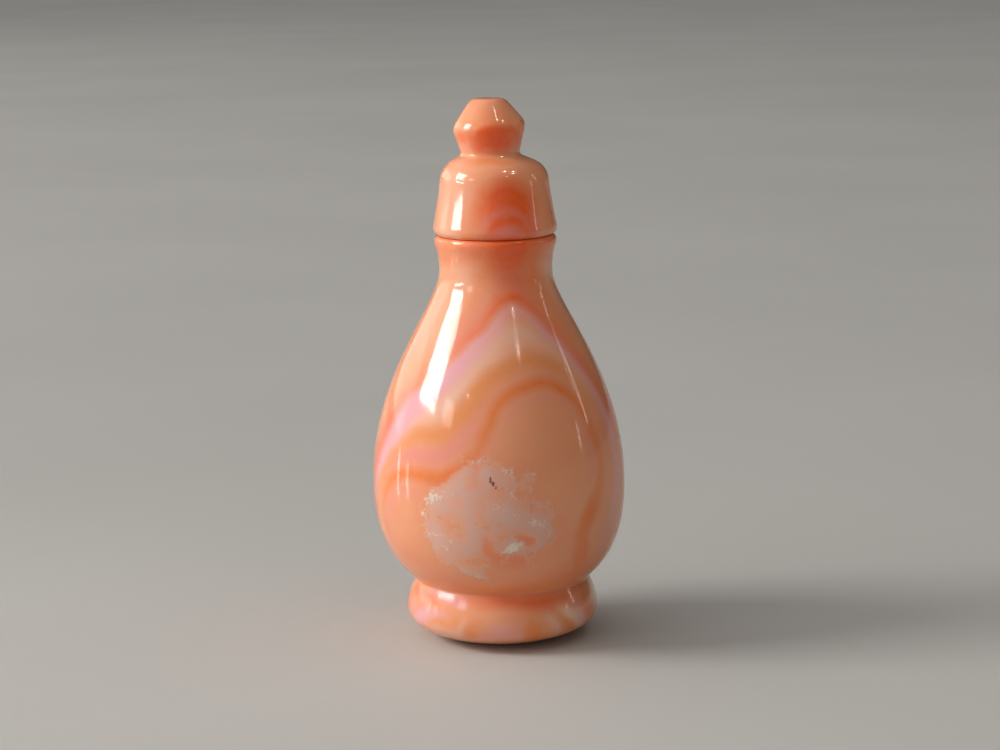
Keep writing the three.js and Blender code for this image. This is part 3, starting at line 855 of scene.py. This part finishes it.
class Nodes:
    """Short calls for building the nodes of a material or a world."""

    def __init__(self, owner):
        self.owner = owner
        owner.use_nodes = True
        self.tree = owner.node_tree
        self.tree.nodes.clear()

    def add(self, kind, inputs=(), **settings):
        node = self.tree.nodes.new(kind)
        for key, value in settings.items():
            setattr(node, key, value)
        for key, value in dict(inputs).items():
            self.put(node.inputs[key], value)
        return node

    def put(self, socket, value):
        if isinstance(value, bpy.types.NodeSocket):
            self.tree.links.new(value, socket)
        else:
            socket.default_value = value

    def finish(self, shader, output="ShaderNodeOutputMaterial"):
        """Joins the shader to the output, and gives the material or world back."""
        self.add(output, {"Surface": shader.outputs[0]})
        return self.owner

    def attribute(self, name):
        return self.add("ShaderNodeAttribute", attribute_name=name, attribute_type="GEOMETRY").outputs["Fac"]

    def noise(self, place, scale, detail, rough, distort=0.0):
        return self.add("ShaderNodeTexNoise", {
            "Vector": place, "Scale": scale, "Detail": detail, "Roughness": rough, "Distortion": distort,
        }).outputs["Fac"]

    def maths(self, operation, a, b, clamp=False):
        return self.add("ShaderNodeMath", {0: a, 1: b}, operation=operation, use_clamp=clamp).outputs[0]

    def ramp(self, value, low, high, to_low=0.0, to_high=1.0):
        return self.add("ShaderNodeMapRange", {
            "Value": value, "From Min": low, "From Max": high, "To Min": to_low, "To Max": to_high,
        }, interpolation_type="SMOOTHSTEP").outputs["Result"]

    def mix(self, share, a, b):
        node = self.add("ShaderNodeMix", data_type="RGBA", clamp_factor=True)
        self.put(node.inputs[0], share)
        self.put(node.inputs[6], a)
        self.put(node.inputs[7], b)
        return node.outputs[2]

    def place(self, shift):
        """Object coordinates, moved so that two textures don't repeat each other."""
        where = self.add("ShaderNodeTexCoord").outputs["Object"]
        return self.add("ShaderNodeVectorMath", {0: where, 1: shift}, operation="ADD").outputs[0]


def marbled_glass(name, shift, with_film):
    """Glossy opal glass, coloured through its body by the bands, with fine mottling and small faults."""
    n = Nodes(bpy.data.materials.new(name))
    place = n.place(shift)
    cloud = n.noise(place, 70, 3, 0.55, 0.6)
    mottle = n.noise(place, 900, 4, 0.6)
    edge = n.noise(place, 420, 3, 0.6)
    colour = n.mix(n.ramp(cloud, 0.3, 0.7, 0.0, 0.28), PEACH, TINTS["salmon"])
    for band, tint in TINTS.items():
        cover = n.attribute(band)
        wavy = n.maths("MULTIPLY", cover, n.ramp(edge, 0.2, 0.8, 0.9, 1.1), clamp=True)
        colour = n.mix(wavy, colour, tint)
    colour = n.mix(n.ramp(mottle, 0.3, 0.75, 0.0, 0.06), colour, TINTS["cream"])

    cells = n.add("ShaderNodeTexVoronoi", {"Vector": place, "Scale": 210.0})
    few = n.ramp(n.add("ShaderNodeSeparateColor", {0: cells.outputs["Color"]}).outputs[0], 0.93, 0.95)
    speck = n.maths("MULTIPLY", few, n.ramp(cells.outputs["Distance"], 0.07, 0.03))
    colour = n.mix(n.maths("MULTIPLY", speck, 0.55), colour, SPECK)

    rough = n.ramp(n.noise(place, 160, 4, 0.6), 0.3, 0.7, 0.075, 0.125)
    ripple = n.noise(place, 95, 1, 0.4)
    grit = n.noise(place, 2600, 2, 0.5)
    relief = n.maths("ADD", n.maths("MULTIPLY", ripple, 0.6), n.maths("MULTIPLY", grit, 0.012))
    relief = n.maths("SUBTRACT", relief, n.maths("MULTIPLY", speck, 0.2))
    if with_film:
        colour, rough, relief = sticker_film(n, colour, rough, relief)
    bump = n.add("ShaderNodeBump", {"Height": relief, "Strength": BUMP_STRENGTH, "Distance": BUMP_HEIGHT})
    return n.finish(n.add("ShaderNodeBsdfPrincipled", {
        "Base Color": colour, "Roughness": rough, "Normal": bump.outputs[0], "IOR": GLASS_IOR,
        "Subsurface Weight": MILK_SHARE, "Subsurface Radius": MILK_REACH, "Subsurface Scale": MILK_DEPTH,
    }))


def sticker_film(n, colour, rough, relief):
    """Lays the patchy whitish film over the glass: torn at its edge, grainy and pitted."""
    place = n.place((0.31, 0.17, 0.05))
    torn = n.noise(place, 620, 6, 0.72, 0.4)
    patch = n.noise(place, 330, 5, 0.66, 0.5)
    grain = n.noise(place, 2300, 4, 0.75)
    pits = n.add("ShaderNodeTexVoronoi", {"Vector": place, "Scale": 1500.0}).outputs["Distance"]
    film = n.attribute("film")
    crust = n.attribute("crust")

    # A thin haze with a ragged edge, greyer and thicker in patches
    def swing(value, amount):
        return n.maths("MULTIPLY", n.maths("SUBTRACT", value, 0.5), amount)

    lumpy = n.maths("ADD", n.maths("ADD", film, swing(torn, 2.4)), swing(grain, 1.1))
    haze = n.ramp(lumpy, 0.22, 0.6)
    mottled = n.maths("ADD", swing(patch, 2.6), swing(grain, 1.6))
    thick = n.ramp(n.maths("ADD", n.maths("MULTIPLY", film, 0.7), mottled), 0.0, 1.1, 0.2, 0.82)
    cover = n.maths("MULTIPLY", haze, thick, clamp=True)
    colour = n.mix(cover, colour, FILM)

    # White crumbs of paper where the crust is, broken up by pits and small shadows
    crumbly = n.maths("ADD", n.maths("ADD", crust, swing(grain, 3.0)), swing(torn, 1.6))
    crumbs = n.ramp(crumbly, 0.3, 0.85, 0.0, 0.85)
    crumbs = n.maths("MULTIPLY", crumbs, n.ramp(crust, 0.02, 0.3))
    crumbs = n.maths("MULTIPLY", crumbs, n.ramp(pits, 0.1, 0.4, 0.35, 1.0))
    colour = n.mix(crumbs, colour, CRUMB)
    tear = n.ramp(n.maths("ADD", n.attribute("tear"), swing(grain, 0.8)), 0.3, 0.55)
    colour = n.mix(n.maths("MULTIPLY", tear, 0.85), colour, SPECK)

    rough = n.mix(haze, rough, n.ramp(cover, 0.0, 0.7, 0.3, 0.6))
    raised = n.maths("ADD", n.maths("MULTIPLY", cover, 0.7), n.maths("MULTIPLY", crumbs, 1.5))
    raised = n.maths("SUBTRACT", raised, n.maths("MULTIPLY", tear, 1.2))
    return colour, rough, n.maths("ADD", relief, raised)


def floor_material():
    n = Nodes(bpy.data.materials.new("pale_floor"))
    tone = n.ramp(n.noise(n.place((0, 0, 0)), 6, 4, 0.5), 0.3, 0.7)
    colour = n.mix(tone, linear(192, 190, 186), linear(197, 195, 191))
    return n.finish(n.add("ShaderNodeBsdfPrincipled", {"Base Color": colour, "Roughness": 0.6}))


# Floor, lights and camera

# In metres
FLOOR_HALF = 6.0


def make_floor():
    half = FLOOR_HALF
    corners = [(-half, -half, 0), (half, -half, 0), (half, half, 0), (-half, half, 0)]
    mesh = bpy.data.meshes.new("floor")
    mesh.from_pydata(corners, [], [(0, 1, 2, 3)])
    floor = bpy.data.objects.new("floor", mesh)
    bpy.context.scene.collection.objects.link(floor)
    mesh.materials.append(floor_material())


DAYLIGHT = (1.0, 0.985, 0.96)
WARM = (1.0, 0.95, 0.88)
WORLD_HORIZON = 0.02
WORLD_OVERHEAD = 0.06
WORLD_LEFT = 0.75
WORLD_FRONT = 0.10
WORLD_BEHIND = 0.3

# The height that the panels and lamps face
FACED_HEIGHT = 40.0

# Each panel: name, azimuth, elevation, distance in metres, degrees wide and tall, glow, colour, mirrored
PANELS = [
    ("window_a", -73.5, 31.8, 2.2, 6.0, 16.4, 13.0, DAYLIGHT, True),
    ("window_b", -80.0, 30.8, 2.2, 6.2, 18.0, 13.0, DAYLIGHT, True),
    ("window_c", -86.7, 29.8, 2.2, 6.2, 19.0, 13.0, DAYLIGHT, True),
    ("window_d", -92.6, 29.2, 2.2, 4.6, 20.6, 13.0, DAYLIGHT, True),
    ("window_e", -97.4, 33.5, 2.2, 3.6, 10.0, 12.0, DAYLIGHT, True),
    ("curtain", -128.0, 13.0, 2.2, 42.0, 18.0, 1.4, DAYLIGHT, True),
    ("side_pane", -54.0, 23.0, 2.4, 11.0, 9.0, 4.0, WARM, True),
    ("right_gap", 98.5, 19.0, 2.0, 1.3, 20.0, 6.0, WARM, True),
    ("right_gap_low", 94.5, 22.5, 2.0, 0.8, 5.0, 5.0, WARM, True),
    ("right_gap_lid", 84.0, 8.0, 2.0, 1.3, 9.0, 6.0, WARM, True),
    ("upper_right", 60.0, 55.0, 0.13, 46.0, 40.0, 0.55, WARM, False),
]
# Upright panes close by: name, azimuth, degrees wide, low and high edge, radius in metres, glow, and whether
# the pane lights the glass too or is only mirrored in it
NEAR_PANES = [
    ("lid_pane_low", -77.0, 21.0, 82.5, 91.5, 0.14, 18.0, True),
    ("lid_pane_high", -80.0, 24.0, 106.0, 132.0, 0.14, 10.0, False),
    ("table_glint_a", -97.0, 2.0, 1.0, 34.0, 0.12, 6.0, False),
    ("table_glint_b", -85.0, 2.6, 1.0, 28.0, 0.12, 4.5, False),
]
# Small bare lamps, only mirrored: azimuth, elevation and glow, and the distance in metres
LAMPS = [(46, 67, 110), (58, 53, 110), (71, 60, 110), (33, 43, 12)]
LAMP_DEGREES = 2.6
LAMP_DISTANCE = 1.0
# Those close by: azimuth, height and glow, and the distance in metres
NEAR_LAMPS = [(24.5, 108, 32), (-33, 119, 50)]
NEAR_LAMP_DEGREES = 1.2
NEAR_LAMP_TALL = 3.0
NEAR_LAMP_DISTANCE = 0.14


def direction(azimuth, elevation):
    """Towards a place round the bottle: azimuth 0 is the camera's side, positive to the right."""
    a, e = math.radians(azimuth), math.radians(elevation)
    return Vector((math.sin(a) * math.cos(e), -math.cos(a) * math.cos(e), math.sin(e)))


def span(distance, degrees):
    """How wide something is that takes up so many degrees from a distance."""
    return 2 * distance * math.tan(math.radians(degrees) / 2)


def panel(name, azimuth, elevation, distance, width, height, glow, colour):
    """A soft rectangular light that faces the bottle. Glow is its brightness as seen in a mirror."""
    light = bpy.data.lights.new(name, "AREA")
    light.shape = "RECTANGLE"
    light.size = width
    light.size_y = height
    light.energy = glow * width * height * math.pi
    light.color = colour
    lamp = bpy.data.objects.new(name, light)
    away = direction(azimuth, elevation)
    lamp.location = Vector((0, 0, FACED_HEIGHT * MM)) + away * distance
    lamp.rotation_mode = "QUATERNION"
    lamp.rotation_quaternion = away.to_track_quat("Z", "Y")
    lamp.visible_camera = False
    bpy.context.scene.collection.objects.link(lamp)
    return lamp


def make_pane(name, azimuth, wide, low, high, radius, glow, colour, lights=False):
    """An upright pane close by. One that doesn't light is seen only mirrored in the gloss."""
    pane = panel(name, azimuth, 0, radius, span(radius, wide), (high - low) * MM, glow, colour)
    pane.location.z = (low + high) / 2 * MM
    pane.visible_diffuse = lights


def studio_world():
    """Soft light from all round: brightest on the left, and dim on the right and behind."""
    n = Nodes(bpy.data.worlds.new("studio"))
    where = n.add("ShaderNodeTexCoord").outputs["Generated"]
    x, y, z = n.add("ShaderNodeSeparateXYZ", {0: where}).outputs
    total = n.ramp(z, 0.05, 0.95, WORLD_HORIZON, WORLD_OVERHEAD)
    total = n.maths("ADD", total, n.ramp(x, -0.9, 0.7, WORLD_LEFT, 0.0))
    total = n.maths("ADD", total, n.ramp(y, -0.9, 0.5, WORLD_FRONT, 0.0))
    total = n.maths("MULTIPLY", total, n.ramp(y, 0.2, 0.9, 1.0, WORLD_BEHIND))
    background = n.add("ShaderNodeBackground", {"Color": (*DAYLIGHT, 1.0), "Strength": total})
    bpy.context.scene.world = n.finish(background, "ShaderNodeOutputWorld")


def make_lights():
    studio_world()
    for name, azimuth, elevation, distance, wide, tall, glow, colour, mirrored in PANELS:
        width, height = span(distance, wide), span(distance, tall)
        light = panel(name, azimuth, elevation, distance, width, height, glow, colour)
        light.visible_glossy = mirrored
    for name, azimuth, wide, low, high, radius, glow, lights in NEAR_PANES:
        make_pane(name, azimuth, wide, low, high, radius, glow, DAYLIGHT, lights)
    for number, (azimuth, height, glow) in enumerate(NEAR_LAMPS):
        low, high = height - NEAR_LAMP_TALL / 2, height + NEAR_LAMP_TALL / 2
        name = f"near_lamp_{number}"
        make_pane(name, azimuth, NEAR_LAMP_DEGREES, low, high, NEAR_LAMP_DISTANCE, glow, WARM)
    size = span(LAMP_DISTANCE, LAMP_DEGREES)
    for number, (azimuth, elevation, glow) in enumerate(LAMPS):
        lamp = panel(f"lamp_{number}", azimuth, elevation, LAMP_DISTANCE, size, size, glow, WARM)
        lamp.visible_diffuse = False


FOCAL = 93.6
SENSOR = 36.0
DISTANCE = 384.5
AIM_HEIGHT = 39.14
SIDE_STEP = 0.40
TILT = 10.0
ROLL = 0.85
# In metres
CLIP_START = 0.05
CLIP_END = 30


def make_camera():
    """The photograph's camera: a little above the bottle, looking down along +Y, and rolled slightly."""
    tilt, roll = math.radians(TILT), math.radians(ROLL)
    ahead = Vector((0, math.cos(tilt), -math.sin(tilt)))
    level_right = Vector((1, 0, 0))
    level_up = level_right.cross(ahead)
    right = math.cos(roll) * level_right - math.sin(roll) * level_up
    up = math.sin(roll) * level_right + math.cos(roll) * level_up
    data = bpy.data.cameras.new("camera")
    data.lens = FOCAL
    data.sensor_width = SENSOR
    data.clip_start = CLIP_START
    data.clip_end = CLIP_END
    camera = bpy.data.objects.new("camera", data)
    place = Vector((SIDE_STEP, -DISTANCE * math.cos(tilt), AIM_HEIGHT + DISTANCE * math.sin(tilt))) * MM
    turn = Matrix((right, up, -ahead)).transposed().to_4x4()
    camera.matrix_world = Matrix.Translation(place) @ turn
    bpy.context.scene.collection.objects.link(camera)
    bpy.context.scene.camera = camera


def dress():
    bottle = make_bottle()
    marble(bottle, FRONT_BANDS + BACK_BANDS + FOOT_BANDS)
    paint_film(bottle)
    bottle.object.data.materials.append(marbled_glass("marbled_glass_bottle", (0, 0, 0), True))
    lid = make_lid()
    marble(lid, LID_BANDS)
    lid.object.data.materials.append(marbled_glass("marbled_glass_lid", (0.21, 0.4, 0.13), False))
    for piece, node, slot in ((bottle.object, "bottle", "bottle_glass"), (lid.object, "lid", "lid_glass")):
        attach(piece, "root")
        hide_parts(node)


dress()
make_floor()
make_lights()
make_camera()
bpy.context.scene.view_settings.view_transform = "Standard"
